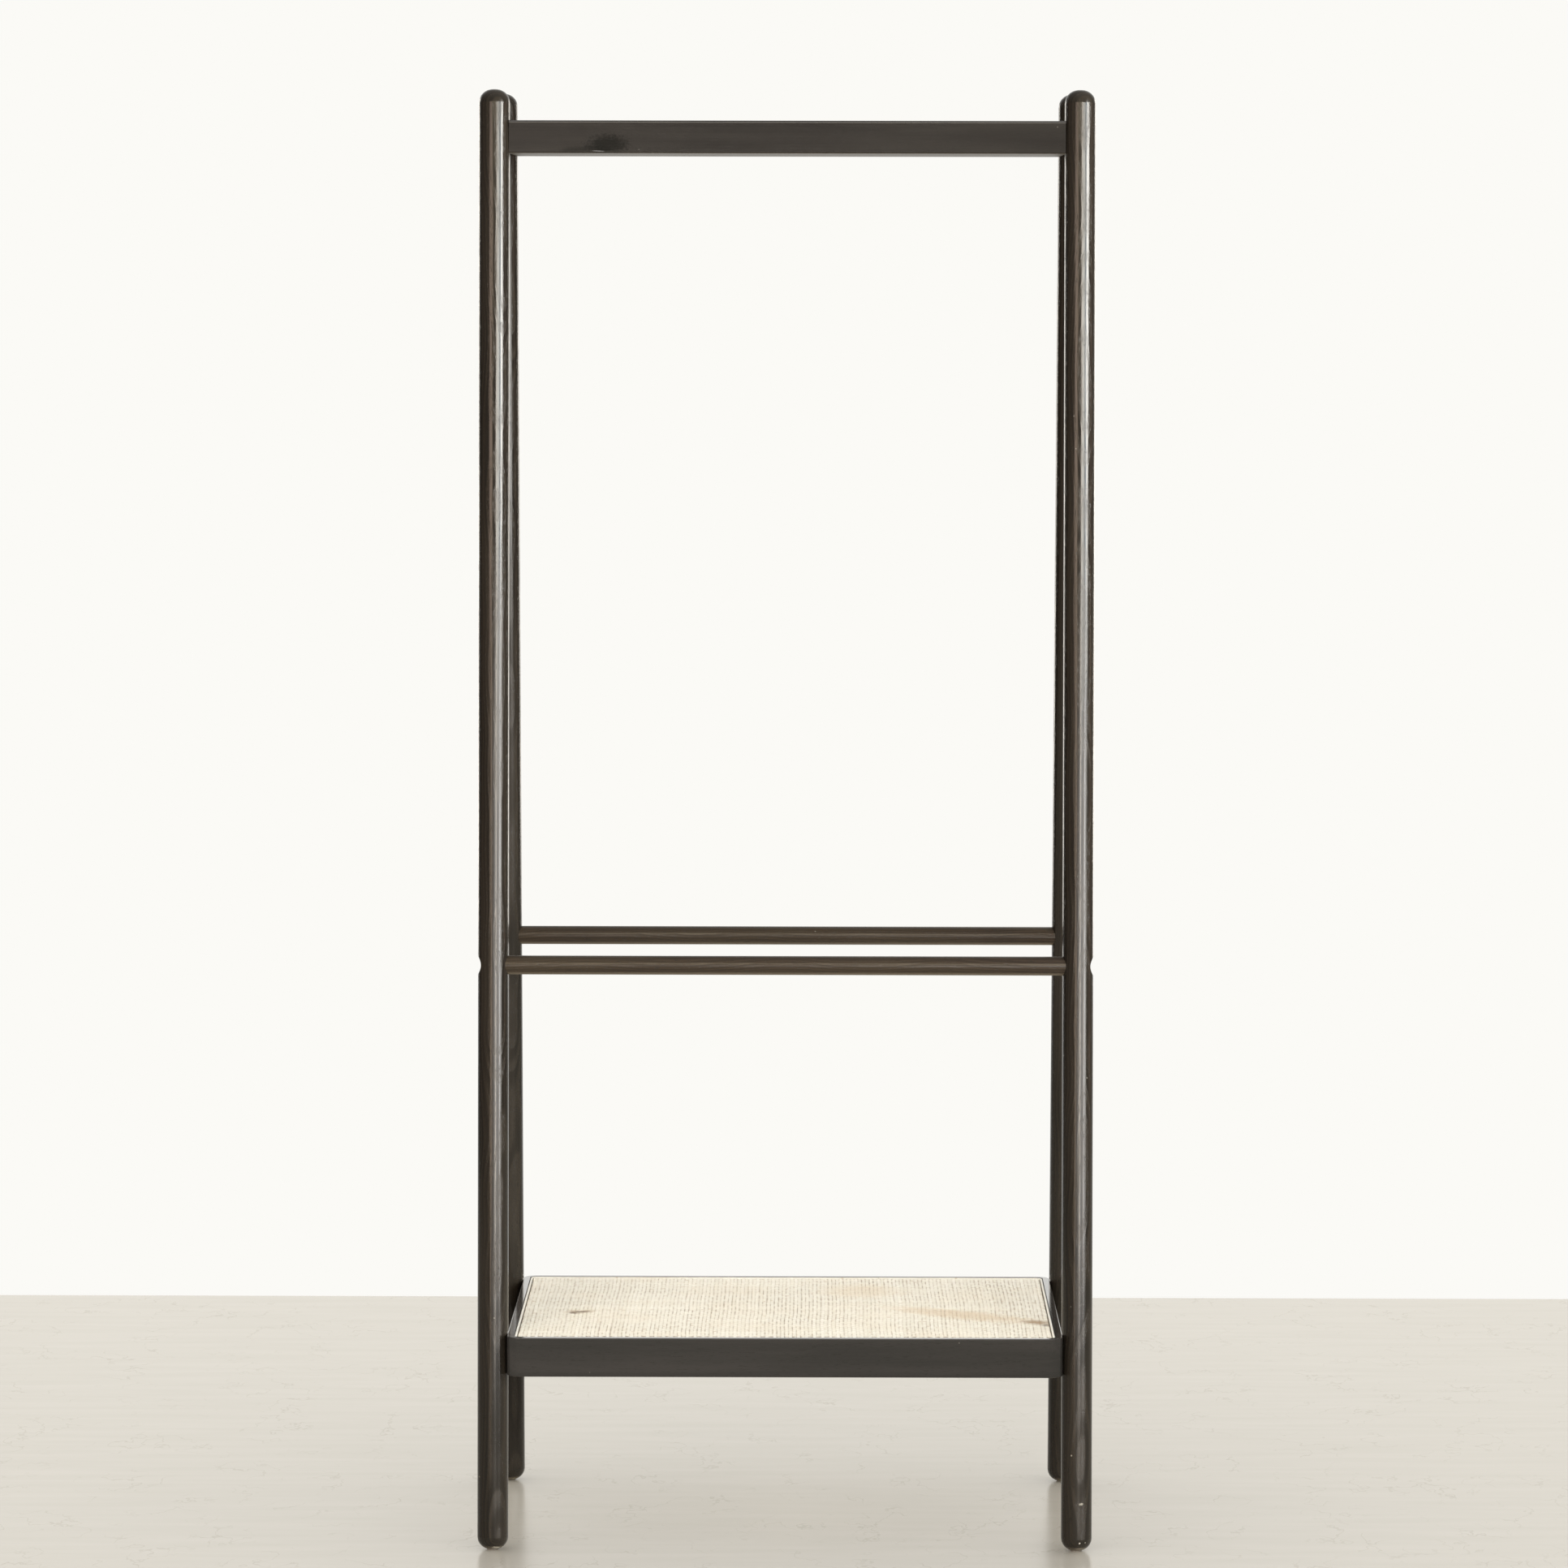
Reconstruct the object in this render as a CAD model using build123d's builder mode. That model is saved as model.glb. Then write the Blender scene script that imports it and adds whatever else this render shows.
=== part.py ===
from build123d import *

import os
from math import atan2, cos, sin

# Kimono stand: four round legs lean together in two A-frame pairs. A top board, two crossbars and a
# cane shelf join the pairs. Millimetres, +X to the stand's right, +Y to its back, +Z up. The origin
# is on the floor, under the middle of the stand.

# ---- Driving dimensions ----

# Whole stand
height = 1650.0
leg_spacing = 662.0  # between leg axes, left to right
foot_spread = 400.0  # between leg axes at the floor, front to back
top_spread = 175.0  # between leg axes at full height, front to back

# Legs
leg_d = 35.0
leg_top_round = 15.0  # radius round the domed top
leg_foot_round = 14.0  # radius round the foot
foot_trim = 0.7  # what the level cut under the foot takes off, along the axis
seat_depth = 1.0  # flat housings in the legs, where the board and the shelf meet them
seat_clearance = 0.2  # above and below the piece in its housing

# Glides under the feet
glide_d = 13.0
glide_h = 1.5
glide_edge = 0.5
glide_pin_d = 3.0
glide_pin_length = 14.0

# Top board
board_drop = 35.0  # from the legs' tops down to the board's top
board_thick = 37.0
board_overhang = 8.0  # past the leg axes, front and back
board_arris = 2.5

# Crossbars
bar_d = 21.5
bar_z = 662.0
bar_socket_depth = 8.0  # from the leg's inner side
bar_end_chamfer = 0.8
counterbore_depth = 11.0  # from the leg's outer side

# Shelf frame
shelf_top_z = 245.0
shelf_h = 44.5
shelf_overhang = 29.0  # past the leg axes, front and back
shelf_corner_r = 15.0
shelf_arris = 1.2
frame_t = 17.0
rim_w = 8.0  # raised border round the cane
rim_lip = 2.0  # from the rim's top down to the ledge under the cane
groove_w = 5.5
groove_depth = 5.0
groove_corner_r = 0.8  # least radius where the groove turns
brace_w = 40.0
brace_h = 24.0

# Cane and the reed that holds it in the groove
cane_t = 1.4
cane_turn_down = 4.0  # edge of the cane inside the groove
reed_crown = 0.3  # the reed's top above the cane
reed_round = 1.5

# Wooden dowels
dowel_d = 8.0
dowel_chamfer = 0.8
board_dowel_pitch = 17.0  # one above the other
board_dowel_in_leg = 15.0
board_dowel_in_board = 25.0
frame_dowel_pitch = 22.0  # one above the other, with the shelf bolt between them
frame_dowel_in_side = 10.0  # in the front and back rails
frame_dowel_in_end = 20.0  # in the end rails and in the brace
brace_dowel_pitch = 20.0  # side by side

# Bolts, washers and threaded inserts
bolt_d = 5.8
bolt_length = 30.0
key_size = 4.0
key_depth = 2.0
bar_head_d = 15.0
bar_head_h = 3.0
bar_washer_d = 18.0
bar_washer_t = 1.6
shelf_head_d = 12.0
shelf_head_h = 3.2
shelf_washer_d = 14.0
shelf_washer_t = 1.2
shelf_bolt_rise = 19.0  # bolt axis above the shelf frame's underside
insert_d = 9.5
insert_bore_d = 6.0
insert_length = 13.0
insert_flange_d = 11.5
insert_flange_t = 1.2

# Clearances, on the radius unless said
bolt_clearance = 0.35
pin_clearance = 0.1
bar_clearance = 0.15
reed_clearance = 0.1
end_clearance = 0.5  # past the end of a dowel, pin or bolt, along its hole

# ---- Worked out from the driving dimensions ----


def leg_y(z):
    """Distance of the leg axes from the stand's middle plane at height z."""
    return (foot_spread + (top_spread - foot_spread) * z / height) / 2


leg_r = leg_d / 2
leg_x = leg_spacing / 2
lean = atan2(leg_y(0) - leg_y(height), height)
leg_length = (height - leg_top_round - (leg_r - leg_top_round) * sin(lean)) / cos(lean) + leg_top_round
seat_x = leg_x - leg_r + seat_depth  # plane of the housings, where the board and the shelf end

board_mid_z = height - board_drop - board_thick / 2
board_depth = 2 * (leg_y(board_mid_z) + board_overhang)

bar_end_x = leg_x - leg_r + bar_socket_depth
bar_hole_r = bar_d / 2 + bar_clearance
counterbore_x = leg_x + leg_r - counterbore_depth
bar_bolt_reach = bar_end_x - (counterbore_x + bar_washer_t - bolt_length)

shelf_bottom_z = shelf_top_z - shelf_h
shelf_mid_z = shelf_top_z - shelf_h / 2
shelf_bolt_z = shelf_bottom_z + shelf_bolt_rise
shelf_bolt_reach = bolt_length - shelf_washer_t - frame_t
shelf_w = 2 * seat_x
shelf_depth = 2 * (leg_y(shelf_mid_z) + shelf_overhang)
end_rail_x = shelf_w / 2 - frame_t  # inner face of the left and right rails
side_rail_y = shelf_depth / 2 - frame_t  # inner face of the front and back rails
ledge_z = shelf_top_z - rim_lip
groove_z = ledge_z - groove_depth
groove_inset = rim_w + groove_w
cane_inset = groove_inset - cane_t
brace_mid_z = ledge_z - brace_h / 2

bolt_hole_r = bolt_d / 2 + bolt_clearance
dowel_hole_r = dowel_d / 2 + pin_clearance
board_dowel_z = (board_mid_z - board_dowel_pitch / 2, board_mid_z + board_dowel_pitch / 2)
frame_dowel_z = (shelf_bolt_z - frame_dowel_pitch / 2, shelf_bolt_z + frame_dowel_pitch / 2)

SIDES = {"left": -1, "right": 1}
ENDS = {"front": -1, "back": 1}
CORNERS = [(side, end) for end in ENDS.values() for side in SIDES.values()]


def across(x, end, z, facing):
    """Plane on the front or back leg axes' line, at x and height z, facing left (-1) or right (1)."""
    return Plane(origin=(x, end * leg_y(z), z), x_dir=(0, 1, 0), z_dir=(facing, 0, 0))


def frame_joint(x, end, z, facing):
    """Plane on the inner face of the shelf's front or back rail, facing out (1) or in (-1)."""
    return Plane(origin=(x, end * side_rail_y, z), x_dir=(1, 0, 0), z_dir=(0, end * facing, 0))


# Planes that fasteners stand on. Each faces the way its hole opens.
board_dowel_planes = [across(side * seat_x, end, z, side) for side, end in CORNERS for z in board_dowel_z]
bar_bolt_planes = [across(side * counterbore_x, end, bar_z, side) for side, end in CORNERS]
bar_insert_planes = [across(side * bar_end_x, end, bar_z, side) for side, end in CORNERS]
shelf_bolt_planes = [across(side * end_rail_x, end, shelf_bolt_z, -side) for side, end in CORNERS]
shelf_insert_planes = [across(side * seat_x, end, shelf_bolt_z, -side) for side, end in CORNERS]

# Places of the dowels in the shelf's frame, as (x, end, z)
corner_dowels = [(side * (shelf_w - frame_t) / 2, end, z) for side, end in CORNERS for z in frame_dowel_z]
brace_dowels = [(side * brace_dowel_pitch / 2, end, brace_mid_z) for side, end in CORNERS]


def save(piece, name):
    """Label one sub-part and write it to its own STEP file."""
    piece.part.label = name
    export_step(piece.part, f"parts/{name}.step")


os.makedirs("parts", exist_ok=True)

# ---- Legs and their glides ----


def insert_hole(reach):
    """Hole for a threaded insert with a flush flange, deep enough for a bolt that reaches into it."""
    Hole(radius=insert_d / 2 + pin_clearance, depth=max(insert_length, reach) + end_clearance)
    Hole(radius=insert_flange_d / 2 + pin_clearance, depth=insert_flange_t)


def build_leg(side, end):
    """One leaning post, its top domed, its foot cut level, drilled and housed for what it carries."""
    foot = Vector(side * leg_x, end * leg_y(0), 0)
    head = Vector(side * leg_x, end * leg_y(height), height)
    up_leg = (head - foot).normalized()
    profile_plane = Plane(origin=foot, x_dir=(1, 0, 0), z_dir=Vector(1, 0, 0).cross(up_leg))
    with BuildPart() as leg:
        with BuildSketch(profile_plane):
            with BuildLine():
                sole = Line((0, glide_h - foot_trim), (leg_r - leg_foot_round, glide_h - foot_trim))
                toe = JernArc(sole @ 1, sole % 1, leg_foot_round, 90)
                flank = Line(toe @ 1, (leg_r, leg_length - leg_top_round))
                dome = JernArc(flank @ 1, flank % 1, leg_top_round, 90)
                Polyline(dome @ 1, (0, leg_length), sole @ 0)
            make_face()
        revolve(axis=Axis(foot, up_leg))
        split(bisect_by=Plane.XY.offset(glide_h), keep=Keep.TOP)

        # Crossbar: counterbore and bolt hole from outside, socket from inside
        with Locations(across(side * (leg_x + leg_r), end, bar_z, side)):
            CounterBoreHole(
                radius=bolt_hole_r,
                counter_bore_radius=bar_hole_r,
                counter_bore_depth=counterbore_depth,
                depth=leg_d,
            )
        with Locations(across(side * (leg_x - leg_r), end, bar_z, -side)):
            Hole(radius=bar_hole_r, depth=bar_socket_depth)

        # Flat housings for the board and the shelf
        for z, thick in ((board_mid_z, board_thick), (shelf_mid_z, shelf_h)):
            with Locations((side * (leg_x - leg_r), end * leg_y(z), z)):
                Box(2 * seat_depth, leg_d, thick + 2 * seat_clearance, mode=Mode.SUBTRACT)

        # Blind holes for the board's dowels, the shelf's insert and the glide's pin
        for z in board_dowel_z:
            with Locations(across(side * seat_x, end, z, -side)):
                Hole(radius=dowel_hole_r, depth=board_dowel_in_leg + end_clearance)
        with Locations(across(side * seat_x, end, shelf_bolt_z, -side)):
            insert_hole(shelf_bolt_reach)
        with Locations(Plane(origin=(foot.X, foot.Y, glide_h), z_dir=(0, 0, -1))):
            Hole(radius=glide_pin_d / 2 + pin_clearance, depth=glide_pin_length + end_clearance)
    return leg


for end_name, end in ENDS.items():
    for side_name, side in SIDES.items():
        save(build_leg(side, end), f"{end_name}_{side_name}_leg")

with BuildPart() as foot_glides:
    with BuildSketch():
        with Locations([(side * leg_x, end * leg_y(0)) for side, end in CORNERS]):
            Circle(glide_d / 2)
    extrude(amount=glide_h)
    fillet(foot_glides.edges().group_by(Axis.Z)[0], radius=glide_edge)
    with BuildSketch(Plane.XY.offset(glide_h)):
        with Locations([(side * leg_x, end * leg_y(0)) for side, end in CORNERS]):
            Circle(glide_pin_d / 2)
    extrude(amount=glide_pin_length)
save(foot_glides, "foot_glides")

# ---- Top board ----

with BuildPart() as top_rail:
    with BuildSketch(Plane.YZ):
        with Locations((0, board_mid_z)):
            RectangleRounded(board_depth, board_thick, board_arris)
    extrude(amount=seat_x, both=True)
    with Locations(board_dowel_planes):
        Hole(radius=dowel_hole_r, depth=board_dowel_in_board + end_clearance)
save(top_rail, "top_rail")

# ---- Crossbars ----


def build_crossbar(end):
    """Round bar whose ends sit in the legs' sockets, each drilled for a threaded insert."""
    with BuildPart() as bar:
        with BuildSketch(across(0, end, bar_z, 1)):
            Circle(bar_d / 2)
        extrude(amount=bar_end_x, both=True)
        chamfer(bar.edges().filter_by(GeomType.CIRCLE), length=bar_end_chamfer)
        with Locations([across(side * bar_end_x, end, bar_z, side) for side in SIDES.values()]):
            insert_hole(bar_bolt_reach)
    return bar


for end_name, end in ENDS.items():
    save(build_crossbar(end), f"{end_name}_crossbar")

# ---- Shelf frame ----


def inset_outline(inset, mode=Mode.ADD):
    """The shelf's rounded outline in the sketch being made, moved inwards all round."""
    corner_r = max(shelf_corner_r - inset, groove_corner_r)
    RectangleRounded(shelf_w - 2 * inset, shelf_depth - 2 * inset, corner_r, mode=mode)


# The frame in one piece, with its rim, ledge and cane groove. Its four rails are cut from it.
with BuildPart() as whole_frame:
    with BuildSketch(Plane.XY.offset(shelf_bottom_z)):
        inset_outline(0)
    extrude(amount=shelf_h)
    levels = whole_frame.edges().group_by(Axis.Z)
    fillet(levels[0] + levels[-1], radius=shelf_arris)
    with BuildSketch(Plane.XY.offset(shelf_top_z)):
        inset_outline(rim_w)
    extrude(amount=-rim_lip, mode=Mode.SUBTRACT)
    with BuildSketch(Plane.XY.offset(ledge_z)):
        inset_outline(rim_w)
        inset_outline(groove_inset, mode=Mode.SUBTRACT)
    extrude(amount=-groove_depth, mode=Mode.SUBTRACT)


def build_side_rail(end):
    """Front or back rail, over the shelf's whole width, with the rounded corners."""
    with BuildPart() as rail:
        add(whole_frame.part)
        with Locations((0, end * (shelf_depth - frame_t) / 2, shelf_mid_z)):
            Box(shelf_w, frame_t, shelf_h, mode=Mode.INTERSECT)
        spots = [spot for spot in corner_dowels + brace_dowels if spot[1] == end]
        with Locations([frame_joint(*spot, facing=-1) for spot in spots]):
            Hole(radius=dowel_hole_r, depth=frame_dowel_in_side + end_clearance)
    return rail


def build_end_rail(side):
    """Left or right rail, between the front and back ones, bolted to the two legs beside it."""
    with BuildPart() as rail:
        add(whole_frame.part)
        with Locations((side * (shelf_w - frame_t) / 2, 0, shelf_mid_z)):
            Box(frame_t, 2 * side_rail_y, shelf_h, mode=Mode.INTERSECT)
        spots = [spot for spot in corner_dowels if spot[0] * side > 0]
        with Locations([frame_joint(*spot, facing=1) for spot in spots]):
            Hole(radius=dowel_hole_r, depth=frame_dowel_in_end + end_clearance)
        with Locations([across(side * end_rail_x, end, shelf_bolt_z, -side) for end in ENDS.values()]):
            Hole(radius=bolt_hole_r, depth=frame_t)
    return rail


for end_name, end in ENDS.items():
    save(build_side_rail(end), f"shelf_{end_name}_rail")
for side_name, side in SIDES.items():
    save(build_end_rail(side), f"shelf_{side_name}_rail")

with BuildPart() as shelf_brace:
    with Locations((0, 0, brace_mid_z)):
        Box(brace_w, 2 * side_rail_y, brace_h)
    with Locations([frame_joint(*spot, facing=1) for spot in brace_dowels]):
        Hole(radius=dowel_hole_r, depth=frame_dowel_in_end + end_clearance)
save(shelf_brace, "shelf_brace")

# ---- Cane ----

with BuildPart() as cane_panel:
    with BuildSketch(Plane.XY.offset(ledge_z)):
        inset_outline(cane_inset)
    extrude(amount=cane_t)
    fillet(cane_panel.edges().group_by(Axis.Z)[-1], radius=cane_t / 2)
    with BuildSketch(Plane.XY.offset(ledge_z)):
        inset_outline(cane_inset)
        inset_outline(groove_inset, mode=Mode.SUBTRACT)
    extrude(amount=-cane_turn_down)
save(cane_panel, "cane_panel")

with BuildPart() as cane_spline:
    with BuildSketch(Plane.XY.offset(groove_z)):
        inset_outline(rim_w + reed_clearance)
        inset_outline(cane_inset - reed_clearance, mode=Mode.SUBTRACT)
    extrude(amount=groove_depth + cane_t + reed_crown)
    fillet(cane_spline.edges().group_by(Axis.Z)[-1], radius=reed_round)
save(cane_spline, "cane_spline")

# ---- Dowels, bolts, washers and inserts ----


def build_dowels(planes, below, above):
    """Chamfered dowels that run from below to above their planes."""
    with BuildPart() as dowels:
        for plane in planes:
            with BuildSketch(plane.offset(-below)):
                Circle(dowel_d / 2)
            extrude(amount=below + above)
        chamfer(dowels.edges().filter_by(GeomType.CIRCLE), length=dowel_chamfer)
    return dowels


def build_bolts(planes, washer_t, head_d, head_h):
    """Hex-key bolts whose heads stand on washers on the planes; their shanks go back through."""
    with BuildPart() as bolts:
        for plane in planes:
            with BuildSketch(plane.offset(washer_t)):
                Circle(head_d / 2)
            extrude(amount=head_h)
            with BuildSketch(plane.offset(washer_t)):
                Circle(bolt_d / 2)
            extrude(amount=-bolt_length)
            with BuildSketch(plane.offset(washer_t + head_h)):
                RegularPolygon(radius=key_size / 2, side_count=6, major_radius=False)
            extrude(amount=-key_depth, mode=Mode.SUBTRACT)
    return bolts


def build_rings(planes, outer_d, inner_d, thick, flange_d=0.0, flange_t=0.0):
    """Rings from the planes outwards, or inwards with a negative thickness, some with a flange."""
    with BuildPart() as rings:
        for plane in planes:
            with BuildSketch(plane):
                Circle(outer_d / 2)
                Circle(inner_d / 2, mode=Mode.SUBTRACT)
            extrude(amount=thick)
            if flange_t > 0:
                with BuildSketch(plane):
                    Circle(flange_d / 2)
                    Circle(inner_d / 2, mode=Mode.SUBTRACT)
                extrude(amount=-flange_t)
    return rings


save(build_dowels(board_dowel_planes, board_dowel_in_board, board_dowel_in_leg), "top_rail_dowels")

frame_dowel_planes = [frame_joint(*spot, facing=1) for spot in corner_dowels + brace_dowels]
save(build_dowels(frame_dowel_planes, frame_dowel_in_end, frame_dowel_in_side), "shelf_frame_dowels")

save(build_bolts(bar_bolt_planes, bar_washer_t, bar_head_d, bar_head_h), "crossbar_bolts")
save(build_bolts(shelf_bolt_planes, shelf_washer_t, shelf_head_d, shelf_head_h), "shelf_bolts")

save(build_rings(bar_bolt_planes, bar_washer_d, 2 * bolt_hole_r, bar_washer_t), "crossbar_washers")
save(build_rings(shelf_bolt_planes, shelf_washer_d, 2 * bolt_hole_r, shelf_washer_t), "shelf_washers")

insert_shape = (insert_d, insert_bore_d, -insert_length, insert_flange_d, insert_flange_t)
save(build_rings(bar_insert_planes, *insert_shape), "crossbar_inserts")
save(build_rings(shelf_insert_planes, *insert_shape), "shelf_inserts")
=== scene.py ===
# %% [markdown]
# # A kimono stand of stained ash and woven cane
# Four round legs lean together in two pairs. They carry a flat board, two round crossbars and a low
# shelf of close-woven cane. The solids come from the CAD model. This script gives them their wood
# and metal finishes, and weaves the cane strand by strand.

# %% Load the CAD model
from functools import partial
from math import atan2, cos, pi, radians, sin

import bpy
import numpy as np
from mathutils import Matrix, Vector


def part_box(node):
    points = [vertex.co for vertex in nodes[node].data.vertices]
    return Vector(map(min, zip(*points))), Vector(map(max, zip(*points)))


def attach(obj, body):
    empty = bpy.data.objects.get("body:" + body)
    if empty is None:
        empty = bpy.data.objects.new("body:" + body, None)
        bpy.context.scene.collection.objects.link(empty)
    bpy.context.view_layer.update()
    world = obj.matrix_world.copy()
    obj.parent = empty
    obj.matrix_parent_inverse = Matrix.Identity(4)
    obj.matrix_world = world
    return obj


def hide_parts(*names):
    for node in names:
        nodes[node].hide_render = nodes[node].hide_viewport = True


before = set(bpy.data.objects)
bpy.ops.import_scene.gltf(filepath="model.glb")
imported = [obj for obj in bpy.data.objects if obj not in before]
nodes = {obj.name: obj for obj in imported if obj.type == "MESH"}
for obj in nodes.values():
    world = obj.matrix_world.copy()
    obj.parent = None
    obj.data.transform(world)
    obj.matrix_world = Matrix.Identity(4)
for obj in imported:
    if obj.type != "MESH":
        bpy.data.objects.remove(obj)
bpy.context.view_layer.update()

scene = bpy.context.scene
MM = 0.001

# %% [markdown]
# ## Tools
# Four small functions do what every later cell needs: turn a colour as it is written on a paint
# card into the linear numbers that Blender's shaders use, add a shader node with its links, start
# an empty material, and put new data into the scene.
#
# Some sockets are given by their place instead of their name. A Map Range takes its value in 0, the
# range that it reads in 1 and 2, and the range that it gives in 3 and 4, which are 0 and 1 where
# nothing else is said. A Mix of colours takes its share in 0 and the two colours in 6 and 7. A Math
# node takes its numbers in 0, 1 and 2.

# %% Colours and nodes


def linear(hex_colour):
    """sRGB hex to linear RGBA: below 0.04045 a straight line, above it a power of 2.4."""
    srgb = np.array([int(hex_colour[i : i + 2], 16) for i in (1, 3, 5)]) / 255
    rgb = np.where(srgb <= 0.04045, srgb / 12.92, ((srgb + 0.055) / 1.055) ** 2.4)
    return (*rgb.tolist(), 1.0)


def add_node(tree, kind, inputs=None, out=0, **settings):
    """Add a shader node and return one output. Inputs are linked or set, by name or by place."""
    node = tree.nodes.new("ShaderNode" + kind)
    for name, value in settings.items():
        setattr(node, name, value)
    for name, value in (inputs or {}).items():
        if isinstance(value, bpy.types.NodeSocket):
            tree.links.new(value, node.inputs[name])
        else:
            node.inputs[name].default_value = value
    return node.outputs[out] if len(node.outputs) else node


# A Mix node's settings where it mixes colours, whose result is its third output
OF_COLOURS = {"out": 2, "data_type": "RGBA"}


def new_material(name):
    """An empty material, and add_node for its tree."""
    material = bpy.data.materials.new(name)
    material.use_nodes = True
    material.node_tree.nodes.clear()
    return material, partial(add_node, material.node_tree)


def link_object(name, data):
    """Put mesh, light or camera data into the scene as an object at the origin."""
    made = bpy.data.objects.new(name, data)
    scene.collection.objects.link(made)
    return made


print("mid grey #808080 is linear", round(linear("#808080")[0], 3))

# %% [markdown]
# ## Camera
# A long lens, a little above the middle of the stand and almost straight in front of it. The long
# lens keeps the legs nearly parallel, and the height shows the cane from above.

# %% Place the camera
CAMERA_PLACE = (0.032, -6.985, 1.451)
CAMERA_PITCH = 0.0851  # downwards, in radians
CAMERA_YAW = 0.0050
CAMERA_ROLL = 0.0017
SENSOR_WIDTH, LENS = 36.0, 139.3  # in millimetres

camera = bpy.data.cameras.new("camera")
camera.sensor_width = SENSOR_WIDTH
camera.lens = LENS
camera_object = link_object("camera", camera)
camera_object.matrix_world = (
    Matrix.Translation(CAMERA_PLACE)
    @ Matrix.Rotation(CAMERA_YAW, 4, "Z")
    @ Matrix.Rotation(pi / 2 - CAMERA_PITCH, 4, "X")
    @ Matrix.Rotation(CAMERA_ROLL, 4, "Z")
)
scene.camera = camera_object
scene.view_settings.view_transform = "Standard"
print("camera looks down by", round(np.degrees(CAMERA_PITCH), 1), "degrees")

# %% [markdown]
# ## Floor
# The floor is sheet vinyl, printed in pale stone tones and embossed with short wavy creases. Its
# worn top coat is smooth enough for a blurred reflection of the feet. It ends where a white wall
# would begin. One flat face is enough, because the creases are far too shallow to show as shape,
# and their shade is painted into the colour as darker lines instead.

# %% Lay the floor
FLOOR_SIDE, FLOOR_FRONT, FLOOR_BACK = 6.0, -5.0, 1.495

floor_mesh = bpy.data.meshes.new("floor")
floor_corners = [
    (-FLOOR_SIDE, FLOOR_FRONT, 0),
    (FLOOR_SIDE, FLOOR_FRONT, 0),
    (FLOOR_SIDE, FLOOR_BACK, 0),
    (-FLOOR_SIDE, FLOOR_BACK, 0),
]
floor_mesh.from_pydata(floor_corners, [], [(0, 1, 2, 3)])
floor = link_object("floor", floor_mesh)
print("floor in m:", 2 * FLOOR_SIDE, "by", FLOOR_BACK - FLOOR_FRONT)

# %% Print and emboss it
floor_vinyl, add = new_material("pale_vinyl")
place = add("TexCoord", out="Object")
# Faint printed streaks, about 200 mm long from side to side and 30 mm deep
drawn_out = add("VectorMath", {0: place, 1: (1.2, 9.0, 1.0)}, operation="MULTIPLY")
streaks = add("TexNoise", {"Vector": drawn_out, "Scale": 4.0, "Detail": 6.0})
tone = add("MapRange", {0: streaks, 1: 0.3, 2: 0.7})
paint = add("Mix", {0: tone, 6: linear("#CFCEC8"), 7: linear("#D4D3CE")}, **OF_COLOURS)
# Creases some 45 mm wide, in patches: they lie where a noise crosses its middle value. Their
# shade is painted in as a darker colour
drawn_out = add("VectorMath", {0: place, 1: (22.0, 14.0, 1.0)}, operation="MULTIPLY")
waves = add("TexNoise", {"Vector": drawn_out, "Scale": 1.0, "Detail": 3.0})
waves = add("Math", {0: waves, 1: 0.5}, operation="SUBTRACT")
waves = add("Math", {0: waves}, operation="ABSOLUTE")
patches = add("TexNoise", {"Vector": drawn_out, "Scale": 0.6, "Detail": 2.0})
patches = add("MapRange", {0: patches, 1: 0.48, 2: 0.62, 3: 0.0, 4: 0.30})
# Painted shade: darker along the creases, in patches
crease_shade = add("MapRange", {0: waves, 1: 0.014, 2: 0.003})
crease_shade = add("Math", {0: crease_shade, 1: patches}, operation="MULTIPLY")
paint = add("Mix", {0: crease_shade, 6: paint, 7: linear("#A39C8C")}, **OF_COLOURS)
shader = add(
    "BsdfPrincipled", {"Base Color": paint, "Roughness": 0.23, "Specular IOR Level": 0.38}
)
add("OutputMaterial", {"Surface": shader})
floor_mesh.materials.append(floor_vinyl)
print("nodes in the floor's material:", len(floor_vinyl.node_tree.nodes))

# %% [markdown]
# ## Studio
# Dark polished wood has little colour of its own. What the eye reads on it is the room's
# reflection. So tall lamps to the right stand for a row of window panes and draw the long
# highlights down each leg. A narrow warm lamp to the left gives the faint brown line beside them,
# two lamps behind light the legs' outlines, and the rest of the room is dim, so the legs keep their
# dark side. The camera sees the world as plain white.
#
# One set of lamps doesn't suit everything, so light linking names the pieces that each one lights.
# The panes light only the round legs and bars. A softbox above the camera lights the flat pieces in
# their place. The floor would glare when seen from behind, so the room's lamps leave it out, and an
# even ring of dull ones lights it alone.

# %% World
world = bpy.data.worlds.new("studio")
scene.world = world
world.use_nodes = True
world.node_tree.nodes.clear()
add = partial(add_node, world.node_tree)
direction = add("SeparateXYZ", {0: add("TexCoord", out="Generated")}).node.outputs
# Radiance of the room: dim towards the walls, bright overhead
overhead = add("MapRange", {0: direction["Z"], 1: 0.0, 2: 1.0, 3: 0.0, 4: 0.70})
room = add("Background", {"Color": linear("#FFFAF4"), "Strength": overhead})
backdrop = add("Background", {"Color": linear("#FBFAF6"), "Strength": 1.0})
# The camera sees the white wall all round. Reflections see it where it stands, behind the stand,
# and dull surfaces get a little less of it, because its foot lies in the shade
rays = add("LightPath").node.outputs
mirrored = add(
    "Math", {0: rays["Is Glossy Ray"], 1: rays["Is Transmission Ray"]}, operation="MAXIMUM"
)
share = add("MapRange", {0: mirrored, 1: 0.0, 2: 1.0, 3: 0.85, 4: 1.0})
behind = add("MapRange", {0: direction["Y"], 1: 0.50, 2: 0.85})
behind = add("Math", {0: behind, 1: share}, operation="MULTIPLY")
seen = add("Math", {0: rays["Is Camera Ray"], 1: behind}, operation="MAXIMUM")
add("OutputWorld", {"Surface": add("MixShader", {0: seen, 1: room, 2: backdrop})})
print("nodes in the world:", len(world.node_tree.nodes))

# %% Say which pieces a lamp lights


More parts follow.
